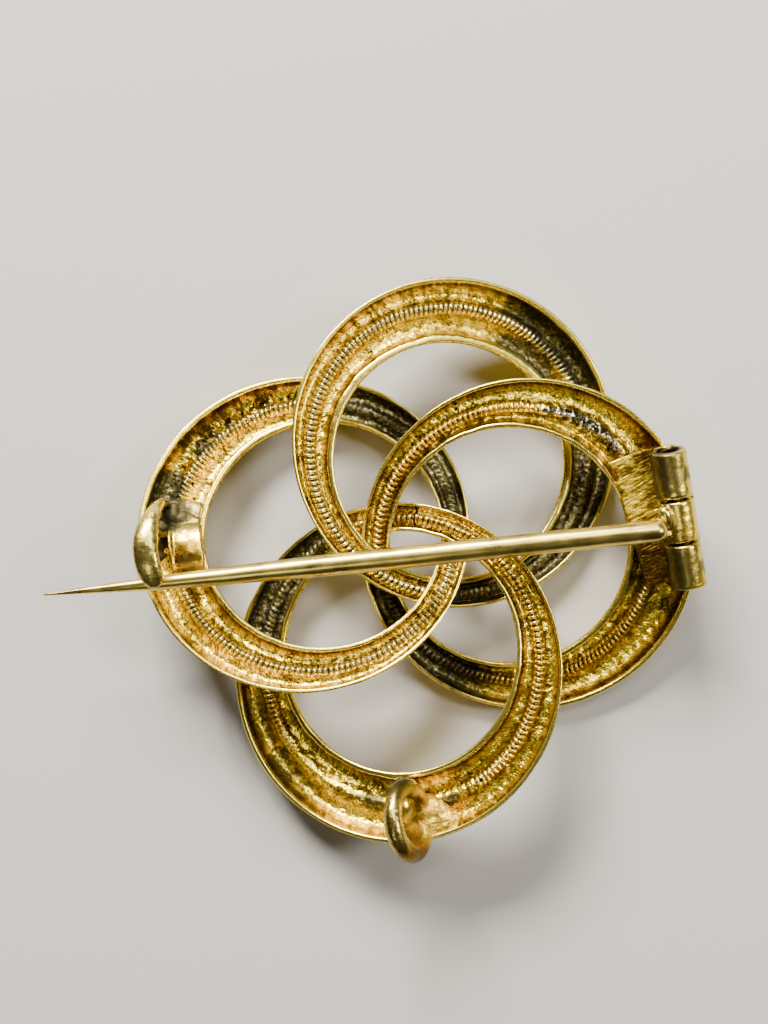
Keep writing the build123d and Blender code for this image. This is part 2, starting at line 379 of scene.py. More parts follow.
def ring_home(side):
    """Place of a ring's rims: x points away from the knot, z out of its back."""
    ring = rings[side]
    flat = turned(Matrix.Translation(knot_middle), about_z=ring["bearing"])
    centre = moved(flat, ring["reach"] * ring_radius, 0, ring["lift"] * narrow_depth)
    return turned(centre, about_x=ring_tilt)


def band_width(angle):
    """Width of a ring's band at an angle from its widest place."""
    turn = math.radians(angle)
    across = math.sqrt(hole_radius**2 - (hole_shift * math.sin(turn)) ** 2)
    return ring_radius + hole_shift * math.cos(turn) - across


def band_place(home, angle, inset, along, up):
    """A place on a ring's band, from its angle, how far it lies in from the outer rim, along
    the band there and over the rims."""
    return moved(turned(home, about_z=angle), ring_radius - inset, along, up)


class Number:
    """A number in a node tree that adds and multiplies as plain numbers do."""

    def __init__(self, tree, socket):
        self.tree = tree
        self.socket = socket

    def work(self, operation, *others):
        """The number after one step of a maths node."""
        step = self.tree.nodes.new("ShaderNodeMath")
        step.operation = operation
        for slot, other in zip(step.inputs, (self, *others)):
            if isinstance(other, Number):
                self.tree.links.new(other.socket, slot)
            else:
                slot.default_value = other
        return Number(self.tree, step.outputs[0])

    __add__ = __radd__ = partialmethod(work, "ADD")
    __sub__ = partialmethod(work, "SUBTRACT")
    __mul__ = __rmul__ = partialmethod(work, "MULTIPLY")
    __truediv__ = partialmethod(work, "DIVIDE")
    to_power = partialmethod(work, "POWER")

    def __rsub__(self, other):
        return (self * -1.0) + other

    def smooth(self, low, high):
        """0 below low, 1 above high and a smooth step between them."""
        step = node(self.tree, "ShaderNodeMapRange", {"Value": self, "From Min": low, "From Max": high})
        step.interpolation_type = "SMOOTHSTEP"
        return Number(self.tree, step.outputs["Result"])


def node(tree, kind, inputs=None, **settings):
    """A node with its settings and inputs filled in."""
    made = tree.nodes.new(kind)
    for name, value in settings.items():
        setattr(made, name, value)
    for name, value in (inputs or {}).items():
        if isinstance(value, Number):
            value = value.socket
        if isinstance(value, bpy.types.NodeSocket):
            tree.links.new(value, made.inputs[name])
        else:
            made.inputs[name].default_value = value
    return made


def vector_of(tree, x, y, z):
    """Three numbers joined into one vector."""
    return node(tree, "ShaderNodeCombineXYZ", {"X": x, "Y": y, "Z": z}).outputs[0]


def noise_of(tree, vector, scale, detail, roughness, **settings):
    """Smooth noise from 0 to 1 at a place."""
    given = {"Vector": vector, "Scale": scale, "Detail": detail, "Roughness": roughness}
    return Number(tree, node(tree, "ShaderNodeTexNoise", given, **settings).outputs[0])


def creases_of(tree, vector, scale):
    """Sharp folds of beaten foil, from 0 to 1, at a place."""
    return noise_of(tree, vector, scale, 3.0, 0.55, noise_type="RIDGED_MULTIFRACTAL", normalize=True)


# Finishes


def attributes_of(tree, *names):
    """Numbers kept on the mesh, read by a material."""
    made = [node(tree, "ShaderNodeAttribute", attribute_name=name) for name in names]
    return [Number(tree, each.outputs["Fac"]) for each in made]


def painted(tree, colour, layers):
    """A colour with layers over it, each given by how much of it shows and its own colour."""
    for share, paint in layers:
        mix = tree.nodes.new("ShaderNodeMix")
        mix.data_type = "RGBA"
        tree.links.new(share.socket, mix.inputs[0])
        for slot, given in ((mix.inputs[6], colour), (mix.inputs[7], paint)):
            if isinstance(given, bpy.types.NodeSocket):
                tree.links.new(given, slot)
            else:
                slot.default_value = (*given, 1.0)
        colour = mix.outputs[2]
    return colour


def new_metal(name):
    """A metal material, with its tree, its shader and the place that its patterns read."""
    material = bpy.data.materials.new(name)
    material.use_nodes = True
    tree = material.node_tree
    shader = tree.nodes["Principled BSDF"]
    shader.inputs["Metallic"].default_value = 1.0
    return material, tree, shader, node(tree, "ShaderNodeTexCoord").outputs["Object"]


def drawn_out(tree, where, turn, along, across):
    """The place, turned by degrees, for a pattern drawn out along a line and squeezed across."""
    made = node(tree, "ShaderNodeMapping", {"Vector": where}, vector_type="TEXTURE")
    made.inputs["Rotation"].default_value = (0.0, 0.0, math.radians(turn))
    made.inputs["Scale"].default_value = (along, across, 1.0)
    return made.outputs[0]


def set_metal(tree, shader, colour, rough):
    """Gives a metal its colour and its roughness."""
    tree.links.new(colour, shader.inputs["Base Color"])
    tree.links.new(rough.socket, shader.inputs["Roughness"])


def raise_surface(tree, shader, height, distance):
    """Bump from a height in shares of a distance in millimetres."""
    bump = node(tree, "ShaderNodeBump", {"Height": height, "Strength": 1.0, "Distance": distance * mm})
    tree.links.new(bump.outputs[0], shader.inputs["Normal"])


# Colours of the gold, in linear light
bright_gold = (1.0, 0.755, 0.05)
deep_gold = (0.36, 0.215, 0.014)
copper_gold = (0.23, 0.12, 0.012)
# wall_gold is painted shade on the channel walls and the ridge's foot, and also a plain brown in tarnish,
# crumples and the rivet.
wall_gold = (0.12, 0.052, 0.006)
# knuckle_gold paints highlights on the knuckles' right sides, and is the gold of the catch plate and the
# loop's solder.
knuckle_gold = (0.98, 0.70, 0.08)
rim_gold = (1.0, 0.80, 0.13)
rope_gold = (0.92, 0.80, 0.36)
rope_brown = (0.66, 0.43, 0.05)
# The next colour is painted shade in the rope's gaps, in pits, in the barrel's bore and at shade marks, and
# the base of the rivet's dull wire.
near_black = (0.03, 0.02, 0.008)
grey_tarnish = (0.27, 0.26, 0.16)
olive_tarnish = (0.13, 0.11, 0.035)
dark_tarnish = (0.022, 0.024, 0.017)
solder_grey = (0.50, 0.47, 0.38)
dull_solder = (0.065, 0.055, 0.025)
dark_solder = (0.07, 0.06, 0.035)
pin_pale = (0.80, 0.63, 0.15)
pin_green = (0.34, 0.27, 0.07)


def make_band_gold():
    """Old gold of the rings: brushed channels, walls darkened with painted shade, pale rims and rope,
    tarnish, and painted shade in the rope's gaps, at the ridge's foot and in pits.
    """
    material, tree, shader, where = new_metal("band gold")
    grain = node(tree, "ShaderNodeAttribute", attribute_name="grain").outputs["Vector"]
    rise, rim, front, bead, gap, foot, crumple, silver, tarnish, solder, pit = attributes_of(
        tree, "rise", "rim", "front", "bead", "gap", "foot", "crumple", "silver", "tarnish", "solder", "pit"
    )
    cloud = noise_of(tree, where, 900.0, 3.0, 0.6)
    fleck = noise_of(tree, where, 5200.0, 3.0, 0.65)
    strokes = noise_of(tree, grain, 85.0, 3.0, 0.6)
    foil = creases_of(tree, where, 2400.0)
    patch = noise_of(tree, where, 2600.0, 2.0, 0.55)
    lumps = noise_of(tree, where, 1100.0, 2.0, 0.5)
    mottle = patch * 0.55 + strokes * 0.17 + cloud * 0.28 + (cloud - patch) * crumple * 0.5
    dull = (tarnish + (fleck - 0.5) * 1.3 + (cloud - 0.5) * 0.9).smooth(0.38, 0.72) * (1.0 - rim)
    # Where the pits are: painted shade, and rougher metal.
    pit_shade = pit.smooth(0.3, 0.7)
    rope = painted(tree, rope_brown, [(silver, rope_gold)])
    glint = painted(tree, olive_tarnish, [(tarnish.smooth(0.6, 1.0), grey_tarnish)])
    dark = painted(tree, dark_tarnish, [(fleck.smooth(0.50, 0.68), glint)])
    lead = painted(tree, dark_solder, [(patch.smooth(0.42, 0.6), solder_grey)])
    edge = painted(tree, rim_gold, [(tarnish.smooth(0.2, 1.0) * 0.7, olive_tarnish)])
    colour = painted(tree, deep_gold, [
        (mottle.smooth(0.40, 0.52), bright_gold),
        (crumple * lumps.smooth(0.44, 0.58) * 0.9, wall_gold),
        # Painted shade: the steep walls by the rims are painted dark brown.
        ((1.0 - rise.smooth(0.04, 0.18)) * (0.75 + cloud * 0.6) * (1.0 - front), wall_gold),
        # Painted shade: dark brown along the foot of the ridge.
        (foot * (0.35 + patch * 0.6), wall_gold),
        (bead.smooth(0.05, 0.5) * 0.95, rope),
        # Painted shade: near black in the gaps between the rope lines.
        (gap.smooth(0.3, 0.85) * 0.92, near_black),
        (dull * 0.93, dark),
        ((solder + (fleck - 0.5) * 0.8).smooth(0.3, 0.5), lead),
        (rim.smooth(0.0, 0.3), edge),
        # Painted shade: near black in the pits.
        (pit_shade, near_black),
    ])
    set_metal(tree, shader, colour, 0.2 + strokes * 0.14 + dull * 0.2 - rim * 0.02 + pit_shade * 0.4)
    rough_part = rise.smooth(0.06, 0.3) * (1.0 - bead * 0.7) * (1.0 - front * 0.8) * (1.0 - crumple * 0.75)
    height = (strokes * 0.16 + fleck * 0.14 + foil * 0.6 + patch * 0.9) * (0.12 + rough_part * 0.88)
    raise_surface(tree, shader, height * (1.0 - rim), 0.11)
    return material


def make_fitting_gold():
    """Worn gold of the catch, the hinge and the loop, greyed where solder or tarnish lies, with painted
    highlights and painted shade where its marks put them.
    """
    material, tree, shader, where = new_metal("fitting gold")
    pale, yellow, brushed, orange, tarnish, solder, painted_shade = attributes_of(
        tree, "pale", "yellow", "brushed", "orange", "tarnish", "solder", "near_black"
    )
    cloud = noise_of(tree, where, 650.0, 3.0, 0.55)
    fleck = noise_of(tree, where, 4200.0, 3.0, 0.6)
    dimple = noise_of(tree, where, 1700.0, 2.0, 0.5)
    spotted = (cloud - 0.5) * 1.4 + (dimple - 0.5) * 1.4 + (fleck - 0.5) * 0.6
    dull = (tarnish + spotted).smooth(0.35, 0.65)
    grey = (solder + (fleck - 0.5) * 0.8 + (cloud - 0.5)).smooth(0.2, 0.6)
    colour = painted(tree, pin_green, [
        ((cloud * 0.6 + dimple * 0.4).smooth(0.38, 0.60), pin_pale),
        # Painted highlight: pale gold where the pale marks lie, on the hook's middle and the rolled lip.
        (pale, pin_pale),
        # Yellow marks: the gold of the catch plate and the loop's solder, and a painted highlight on the
        # knuckles' right sides.
        (yellow, knuckle_gold),
        (brushed * fleck.smooth(0.62, 0.38) * 0.8, deep_gold),
        (orange, copper_gold),
        (dull * 0.85, olive_tarnish),
        (grey, dull_solder),
        # Painted shade: near black at the shade marks and in the barrel's bore.
        (painted_shade, near_black),
    ])
    set_metal(tree, shader, colour, 0.2 + fleck * 0.14 + dull * 0.1 + grey * 0.25 + brushed * 0.2)
    uneven = fleck * (0.2 + brushed * 2.4) + cloud * 0.4 + dimple * (1.3 + brushed * 1.4)
    raise_surface(tree, shader, uneven * (1.0 - pale * 0.8), 0.05)
    return material


def make_plate_gold():
    """Bright gold of the hinge plate, brushed on the slant, with painted shade beside the knuckles and
    below the pin wire.
    """
    material, tree, shader, where = new_metal("plate gold")
    strokes = noise_of(tree, drawn_out(tree, where, 28, 3.0, 0.5), 4200.0, 4.0, 0.6)
    cloud = noise_of(tree, where, 1500.0, 3.0, 0.6)
    fleck = noise_of(tree, where, 4200.0, 3.0, 0.6)
    tarnish, painted_shade = attributes_of(tree, "tarnish", "near_black")
    dull = (tarnish + (cloud - 0.5) * 1.4).smooth(0.3, 0.65)
    colour = painted(tree, copper_gold, [
        ((strokes * 0.65 + cloud * 0.35).smooth(0.44, 0.58), bright_gold),
        (dull * 0.85, wall_gold),
        # Painted shade: near black beside the knuckles and below the pin wire, the wire's painted shadow.
        (painted_shade, near_black),
    ])
    set_metal(tree, shader, colour, 0.26 + strokes * 0.16)
    raise_surface(tree, shader, strokes * 0.7 + cloud * 0.8 + fleck * 0.3, 0.1)
    return material


def make_pin_gold():
    """Pale, greenish gold of the pin wire, worn smooth, with fine lines along it."""
    material, tree, shader, where = new_metal("pin gold")
    lines = noise_of(tree, drawn_out(tree, where, 5.2, 16.0, 1.0), 7000.0, 3.0, 0.6)
    cloud = noise_of(tree, where, 420.0, 3.0, 0.6)
    colour = painted(tree, pin_green, [((cloud * 0.7 + lines * 0.3).smooth(0.38, 0.60), pin_pale)])
    set_metal(tree, shader, colour, 0.22 + cloud * 0.12)
    raise_surface(tree, shader, lines * 0.6 + cloud * 0.6, 0.012)
    return material


def make_dull_wire():
    """Dull wire of the rivet inside the hinge."""
    material, tree, shader, where = new_metal("dull wire")
    spots = noise_of(tree, where, 3000.0, 3.0, 0.6)
    colour = painted(tree, near_black, [(spots.smooth(0.4, 0.6), wall_gold)])
    set_metal(tree, shader, colour, 0.45 + spots * 0.2)
    return material


# Rings


def section_rows():
    """Points round a band's section, from the outer rim over the back, the inner rim and the
    front: half of the band, share of the way from rim to ridge, rim inset and 1 on the front."""
    wall = [wall_share * (step / 10) ** 1.7 for step in range(11)]
    slope = [wall_share + (1 - wall_share) * step / 11 for step in range(1, 12)]
    back = wall + slope
    face = [0.0, 0.03, 0.1, 0.22, 0.4, 0.6, 0.8, 1.0]
    rows = [(0, u, 1.0, 0) for u in back]
    rows += [(1, u, 1.0, 0) for u in reversed(back[:-1])]
    rows += [(1, 0, 0.7, 0), (1, 0, 0.3, 0)]
    rows += [(1, u, 0.0, 1) for u in face]
    rows += [(0, u, 0.0, 1) for u in reversed(face[:-1])]
    rows += [(0, 0, 0.3, 0), (0, 0, 0.7, 0)]
    return np.array(rows, float)


def grid_faces(rows, count, closed=True):
    """Faces between rows of points that close on themselves, and that may close into a ring."""
    step, side = np.meshgrid(np.arange(rows if closed else rows - 1), np.arange(count), indexing="ij")
    corners = [
        ((step + near) % rows) * count + (side + over) % count
        for near, over in ((0, 0), (0, 1), (1, 1), (1, 0))
    ]
    return np.stack(corners, -1).reshape(-1, 4).tolist()


def mark_share(side, kind, angles, across):
    """How strongly marks of a kind show at places on a ring's band: each is full to 0.6 of
    its reach and gone at 1.6 of it."""
    total = np.zeros(np.broadcast(angles, across).shape)
    for mark in ring_marks[side].get(kind, []):
        turn = (angles - mark["at"] + 180) % 360 - 180
        far = np.hypot(turn / mark["along"], (across - mark["across"]) / mark["wide"])
        total = np.maximum(total, mark["strength"] * np.clip(1.6 - far, 0, 1))
    return total


def band_grid(side):
    """A closed grid, round the ring and round its section, that keeps on its points what the
    crescent tree needs to shape it."""
    rows = section_rows()
    steps = rope_lines * points_in_a_line
    count = len(rows)
    mesh = bpy.data.meshes.new(rings[side]["node"] + "_band")
    mesh.from_pydata(np.zeros((steps * count, 3)).tolist(), [], grid_faces(steps, count))
    half, rise, inset, front = rows.T
    ridge = rings[side]["ridge"]
    across = np.where(half == 0, ridge * rise, 1 - (1 - ridge) * rise)
    angles = np.arange(steps)[:, None] * 360 / steps
    rim = ((rise == 0) & (front == 0)).astype(float)
    kept = {"along": angles / 360, "half": half, "rise": rise, "inset": inset, "front": front, "rim": rim}
    kept["silver"] = rings[side]["silver"]
    for kind in ("tarnish", "worn", "crumple", "pit", "solder"):
        kept[kind] = mark_share(side, kind, angles, across[None, :]) * (1 - front)
    for name, values in kept.items():
        values = np.broadcast_to(values, (steps, count)).astype(np.float32).ravel()
        mesh.attributes.new(name, "FLOAT", "POINT").data.foreach_set("value", values)
    return mesh


def make_crescent_tree(material):
    """Geometry tree that shapes a band grid into a crescent of pressed sheet, with two
    channels, a ridge between them and rope lines across the ridge."""
    tree = bpy.data.node_groups.new("crescent ring", "GeometryNodeTree")
    tree.interface.new_socket("Geometry", in_out="INPUT", socket_type="NodeSocketGeometry")
    tree.interface.new_socket("Geometry", in_out="OUTPUT", socket_type="NodeSocketGeometry")
    for name in (*shared_sizes, *own_sizes):
        tree.interface.new_socket(name, in_out="INPUT", socket_type="NodeSocketFloat")
    given = tree.nodes.new("NodeGroupInput")
    size = {slot.name: Number(tree, slot) for slot in given.outputs[1:] if slot.name}

    def kept(name):
        read = node(tree, "GeometryNodeInputNamedAttribute", {"Name": name}, data_type="FLOAT")
        return Number(tree, read.outputs["Attribute"])

    def stored(last, name, value, kind):
        goes_in = {"Geometry": last, "Name": name}
        made = node(tree, "GeometryNodeStoreNamedAttribute", goes_in, data_type=kind, domain="POINT")
        slot = [slot for slot in made.inputs if slot.name == "Value" and slot.enabled][0]
        tree.links.new(value, slot)
        return made.outputs[0]

    turn = kept("along") * math.tau
    cosine = turn.work("COSINE")
    sine = turn.work("SINE")
    half, rise, front = kept("half"), kept("rise"), kept("front")

    # Width and depth of the band here
    off_centre = size["Hole Shift"] * sine
    reach = (size["Hole Radius"] * size["Hole Radius"] - off_centre * off_centre).work("SQRT")
    width = size["Ring Radius"] + size["Hole Shift"] * cosine - reach
    narrowest = size["Ring Radius"] - size["Hole Shift"] - size["Hole Radius"]
    share = (width - narrowest) / (size["Hole Shift"] * 2.0)
    depth = size["Narrow Depth"] + share * (size["Wide Depth"] - size["Narrow Depth"])
    depth = depth - size["Sheet"] * (1.0 - front)

    # Noise along the band: slow for the rims, quicker for dents and crumples
    round_way = vector_of(tree, cosine * size["Ring Radius"], sine * size["Ring Radius"], size["Seed"])
    waver = noise_of(tree, round_way, 0.24, 2.0, 0.5) - 0.5
    nick = noise_of(tree, round_way, 1.1, 1.0, 0.5) - 0.5

    # Place across the band
    rim_width = size["Outer Rim"] + half * (size["Inner Rim"] - size["Outer Rim"])
    rim_width = rim_width * (0.75 + share * 0.35 + waver * 0.9 + nick * 0.35)
    edge = rim_width * kept("inset")
    half_share = size["Ridge Share"] + half * (1.0 - size["Ridge Share"] * 2.0)
    to_ridge = half_share * (width - edge * 2.0)
    from_rim = edge + to_ridge * rise
    across = from_rim + half * (width - from_rim * 2.0)
    radius = size["Ring Radius"] - across
    outside = 1.0 - half
    radius = radius + (waver + nick * 0.25) * size["Rim Waver"] * outside * (1.0 - rise)
    flat = vector_of(tree, cosine * radius, sine * radius, size["Seed"])

    # Hollow of the channels: a round wall from each rim, then a rise to the ridge
    wall_turn = 1.0 - (rise / wall_share).work("MINIMUM", 1.0)
    wall = (1.0 - wall_turn.to_power(wall_roundness)).work("MAXIMUM", 0.0).to_power(1 / wall_roundness)
    climb = rise.smooth(0.42, 1.0)
    hollow = wall - climb * (1.0 - size["Groove Share"])

    # Rope on the ridge, worn away in places
    off_ridge = (1.0 - rise) * to_ridge
    round_off = off_ridge / size["Rope Width"] * 2.0
    rope = (1.0 - round_off.to_power(3.0)).work("MAXIMUM", 0.0).work("SQRT") * (1.0 - front)
    rope = rope * (1.0 - kept("worn")).work("MAXIMUM", 0.0)
    slide = off_ridge * (1.0 - half * 2.0) * size["Line Slant"]
    phase = kept("along") * size["Rope Lines"] + slide
    line = (phase * math.pi).work("SINE").work("ABSOLUTE").to_power(0.8)
    rope_height = rope * (1.0 - size["Line Depth"] * (1.0 - line)) * size["Rope Height"]

    # Dents of the press, crumpled sheet, pits and solder
    dent = (noise_of(tree, flat, 0.8, 2.0, 0.5) - 0.5) * size["Dent Depth"]
    crease = (creases_of(tree, flat, 1.7) - 0.5) * size["Crease Depth"] * rise.smooth(0.08, 0.35)
    crease = crease * (1.0 - rope)
    fold = (noise_of(tree, flat, 1.25, 3.0, 0.55) - 0.5) * size["Crumple Depth"] * kept("crumple")
    lump = noise_of(tree, flat, 1.9, 2.0, 0.6).smooth(0.35, 0.7) * kept("solder") * 0.28
    inner = wall * (1.0 - front)
    relief = (dent + crease + fold + lump - kept("pit") * 0.1) * inner
    sway = (waver * 0.05 + nick * 0.02) * (1.0 - rise) * (1.0 - front)
    crown = kept("rim") * (1.0 - kept("inset")) * 0.03
    height = relief - hollow * depth + rope_height + sway + crown
    place = vector_of(tree, cosine * radius, sine * radius, height)
    goes_in = {"Geometry": given.outputs["Geometry"], "Position": place}
    shaped = node(tree, "GeometryNodeSetPosition", goes_in)

    # What the material reads: rope, the gaps in it and its foot, both painted with shade, and the way of
    # the brushing
    foot = off_ridge.smooth(0.24, 0.31) * (1.0 - off_ridge.smooth(0.36, 0.56)) * (1.0 - front)
    last = stored(shaped.outputs[0], "bead", (rope * line).socket, "FLOAT")
    last = stored(last, "gap", (rope * (1.0 - line).to_power(0.9)).socket, "FLOAT")
    last = stored(last, "foot", foot.socket, "FLOAT")
    slanted = turn + across * 0.11
    brushed = vector_of(tree, slanted.work("COSINE"), slanted.work("SINE"), across * 0.022)
    last = stored(last, "grain", brushed, "FLOAT_VECTOR")
    whole = node(tree, "GeometryNodeRealizeInstances", {"Geometry": last})
    dressed = node(tree, "GeometryNodeSetMaterial", {"Geometry": whole.outputs[0], "Material": material})
    result = tree.nodes.new("NodeGroupOutput")
    tree.links.new(dressed.outputs[0], result.inputs[0])
    return tree


def make_plain(piece):
    """Turns a piece and its modifiers into a plain mesh."""
    seen = piece.evaluated_get(bpy.context.evaluated_depsgraph_get())
    mesh = bpy.data.meshes.new_from_object(seen)
    piece.modifiers.clear()
    piece.data = mesh


def finish_piece(piece, body, place=Matrix.Identity(4)):
    """Makes a piece plain at its place in metres, and hangs it on its body."""
    make_plain(piece)
    piece.data.transform(Matrix.Scale(mm, 4) @ place)
    piece.data.shade_smooth()
    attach(piece, body)


def new_object(name, data):
    """An object in the scene: a mesh, a light or the camera."""
    made = bpy.data.objects.new(name, data)
    bpy.context.scene.collection.objects.link(made)
    return made


def make_ring(side, tree, seed):
    """One ring of the knot, shaped by the crescent tree."""
    ring = rings[side]
    piece = new_object(ring["node"] + "_band", band_grid(side))
    modifier = piece.modifiers.new("crescent", "NODES")
    modifier.node_group = tree
    sizes = {**shared_sizes, **dict(zip(own_sizes, (ring["inner_rim"], ring["ridge"], seed)))}
    for item in tree.interface.items_tree:
        if item.name in sizes:
            modifier[item.identifier] = sizes[item.name]
    finish_piece(piece, "knot", ring_home(side))
    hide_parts(ring["node"])


# Hinge, catch and loop


def skin(name, grid, closed=False):
    """A mesh through a grid of points: rows closed on themselves, joined along the piece and
    closed into a ring or capped at both ends."""
    rows, count, _ = grid.shape
    faces = grid_faces(rows, count, closed)
    if not closed:
        faces.append(list(range(count))[::-1])
        faces.append(list(range((rows - 1) * count, rows * count)))
    mesh = bpy.data.meshes.new(name)
    mesh.from_pydata(grid.reshape(-1, 3).tolist(), [], faces)
    face_outwards(mesh)
    return mesh


def face_outwards(mesh):
    """Turns a closed mesh's faces outwards."""
    work = bmesh.new()
    work.from_mesh(mesh)
    bmesh.ops.recalc_face_normals(work, faces=work.faces)
    work.to_mesh(mesh)
    work.free()


def lathe(name, profile, sides, closed=False):
    """A turned mesh about x, from distances along it and radii there."""
    along, radius = np.array(profile, float).T
    turn = np.linspace(0, math.tau, sides, endpoint=False)
    across = radius[:, None] * np.cos(turn), radius[:, None] * np.sin(turn)
    grid = np.stack([np.broadcast_to(along[:, None], across[0].shape), *across], -1)
    return skin(name, grid, closed)


def fused(name, meshes, fineness, smoothing, material):
    """Closed meshes soldered into one body, with soft joins."""
    work = bmesh.new()
    for mesh in meshes:
        work.from_mesh(mesh)
    whole = bpy.data.meshes.new(name)
    work.to_mesh(whole)
    work.free()
    piece = new_object(name, whole)
    whole.materials.append(material)
    join = piece.modifiers.new("join", "REMESH")
    join.mode = "VOXEL"
    join.voxel_size = fineness
    soften = piece.modifiers.new("soften", "SMOOTH")
    soften.factor = 0.5
    soften.iterations = smoothing
    make_plain(piece)
    return piece


def keep_marks(mesh, marks, home):
    """Keeps on a mesh's points how strongly its marks show: each has a place in its ring's
    own directions, how far it reaches and how strong it is, and is gone at 1.5 of its reach."""
    points = np.empty(len(mesh.vertices) * 3)
    mesh.vertices.foreach_get("co", points)
    points = points.reshape(-1, 3)
    for kind in ("yellow", "orange", "pale", "brushed", "tarnish", "solder", "near_black"):
        kept = mesh.attributes.get(kind) or mesh.attributes.new(kind, "FLOAT", "POINT")
        total = np.zeros(len(points), np.float32)
        kept.data.foreach_get("value", total)
        for mark in marks.get(kind, []):
            far = np.linalg.norm(points - np.array(home @ Vector(mark["at"])), axis=1)
            total = np.maximum(total, np.clip(mark["strength"] * (1.5 - far / mark["reach"]), 0, 1))
        kept.data.foreach_set("value", total.astype(np.float32))


def slab(name, corners, low, high, home):
    """A flat plate between two heights over a place, from its corners."""
    grid = np.array([[home @ Vector((x, y, z)) for x, y in corners] for z in (low, high)], float)
    return skin(name, grid)


# Places of the hinge and the pin, as the solids have them
hinge_seat = moved(ring_home("right"), ring_radius - hinge_inset, hinge_along, 0)
hinge_seat = turned(hinge_seat, about_z=hinge_lean)
barrel = moved(hinge_seat, 0, barrel_length / 2, axis_height)
barrel_middle = moved(hinge_seat, 0, 0, axis_height)
pin_start = barrel_middle @ Vector((-pin_setback, -pin_along, pin_rise))
pin_at_catch = ring_home("left") @ Vector((ring_radius - catch_inset, catch_along, catch_height))
pin_aim = pin_at_catch - pin_start
pin_run = pin_aim.length
pin_length = pin_run + pin_past_catch
upwards = Vector((0, 0, 1))
pin_side = upwards.cross(pin_aim)
pin_home = place_at(pin_start, pin_aim, pin_aim.cross(pin_side))
hook_home = turned(place_at(pin_at_catch, -pin_side, upwards.cross(pin_side)), about_y=hook_skew)
hook_offset = hook_radius - hook_thickness / 2 - hook_clearance - pin_catch_radius
hook_middle = moved(
    hook_home,
    hook_offset * math.cos(math.radians(hook_slant)),
    -hook_offset * math.sin(math.radians(hook_slant)),
    hook_setback,
)


def knuckle(name, start, length, far_slant=0.0):
    """A tube of rolled sheet along the barrel, its edges filed, its far end cut aslant and its bore marked
    for painted shade.
    """
    inside = barrel_radius - tube_wall
    edge = [(0, barrel_radius - filed_edge)]
    edge += [(filed_edge * 0.4, barrel_radius - filed_edge * 0.4), (filed_edge, barrel_radius)]
    body = [(length * share, barrel_radius) for share in np.linspace(0.08, 0.92, 15)]
    far_edge = [(length - x, radius) for x, radius in reversed(edge)]
    bore = [(length * share, inside) for share in np.linspace(0.9, 0.1, 9)]
    profile = [(0, inside)] + edge + body + far_edge + [(length, inside)] + bore
    mesh = lathe(name, profile, barrel_sides, closed=True)
    # Painted shade: points of the bore are marked to be painted near black.
    bore_shade = [
        float(math.hypot(point.co.y, point.co.z) < barrel_radius - filed_edge * 1.1)
        for point in mesh.vertices
    ]
    mesh.attributes.new("near_black", "FLOAT", "POINT").data.foreach_set("value", bore_shade)
    along_barrel = place_at((0, 0, 0), (0, -1, 0), (0, 0, 1))
    mesh.transform(moved(along_barrel, start, 0, 0))
    for point in mesh.vertices:
        x, y, z = point.co
        gone = -y - start
        ease = max(0.0, 1 - gone / length)
        point.co.y = y - far_slant * ease * (z + barrel_radius) / 2
        worn = 1 + knuckle_wear * noise.noise(Vector((x, y, z)) * 1.3 + Vector((start, 0, 0)))
        if math.hypot(x, z) > inside + 0.05:
            point.co.x *= worn
            point.co.z *= worn
    mesh.transform(barrel)
    return mesh


def make_hinge(material, plate_material):
    """Hinge plate with its seats, and the two outer knuckles of the barrel."""
    half = barrel_length / 2
    outline = [(c["east"] * plate_width, c["north"] * half) for c in plate_corners]
    plate = slab("hinge_plate", outline, -plate_sink, plate_thickness - plate_sink, hinge_seat)
    seats = []
    spans = {"far": (half, half - knuckles["far"]), "near": (-half + knuckles["near"], -half)}
    for side, (far, near) in spans.items():
        west, east = -seat_width / 2, seat_width / 2
        corners = [(west, near), (east, near), (east, far), (west, far)]
        seats.append(slab(side + "_seat", corners, 0.1, axis_height - barrel_radius * 0.7, hinge_seat))
    piece = fused("hinge_plate", [plate] + seats, joined_cell, 3, plate_material)
    keep_marks(piece.data, hinge_marks, hinge_seat)
    finish_piece(piece, "knot")
    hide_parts("hinge_ring")
    near_start = barrel_length - knuckles["near"]
    for side, start, slant in (("far", 0.0, 0.3), ("near", near_start, 0.0)):
        mesh = knuckle(side + "_knuckle", start, knuckles[side], slant)
        mesh.materials.append(material)
        outer = new_object(side + "_knuckle", mesh)
        keep_marks(mesh, hinge_marks, hinge_seat)
        finish_piece(outer, "knot")
        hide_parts("hinge_ring")


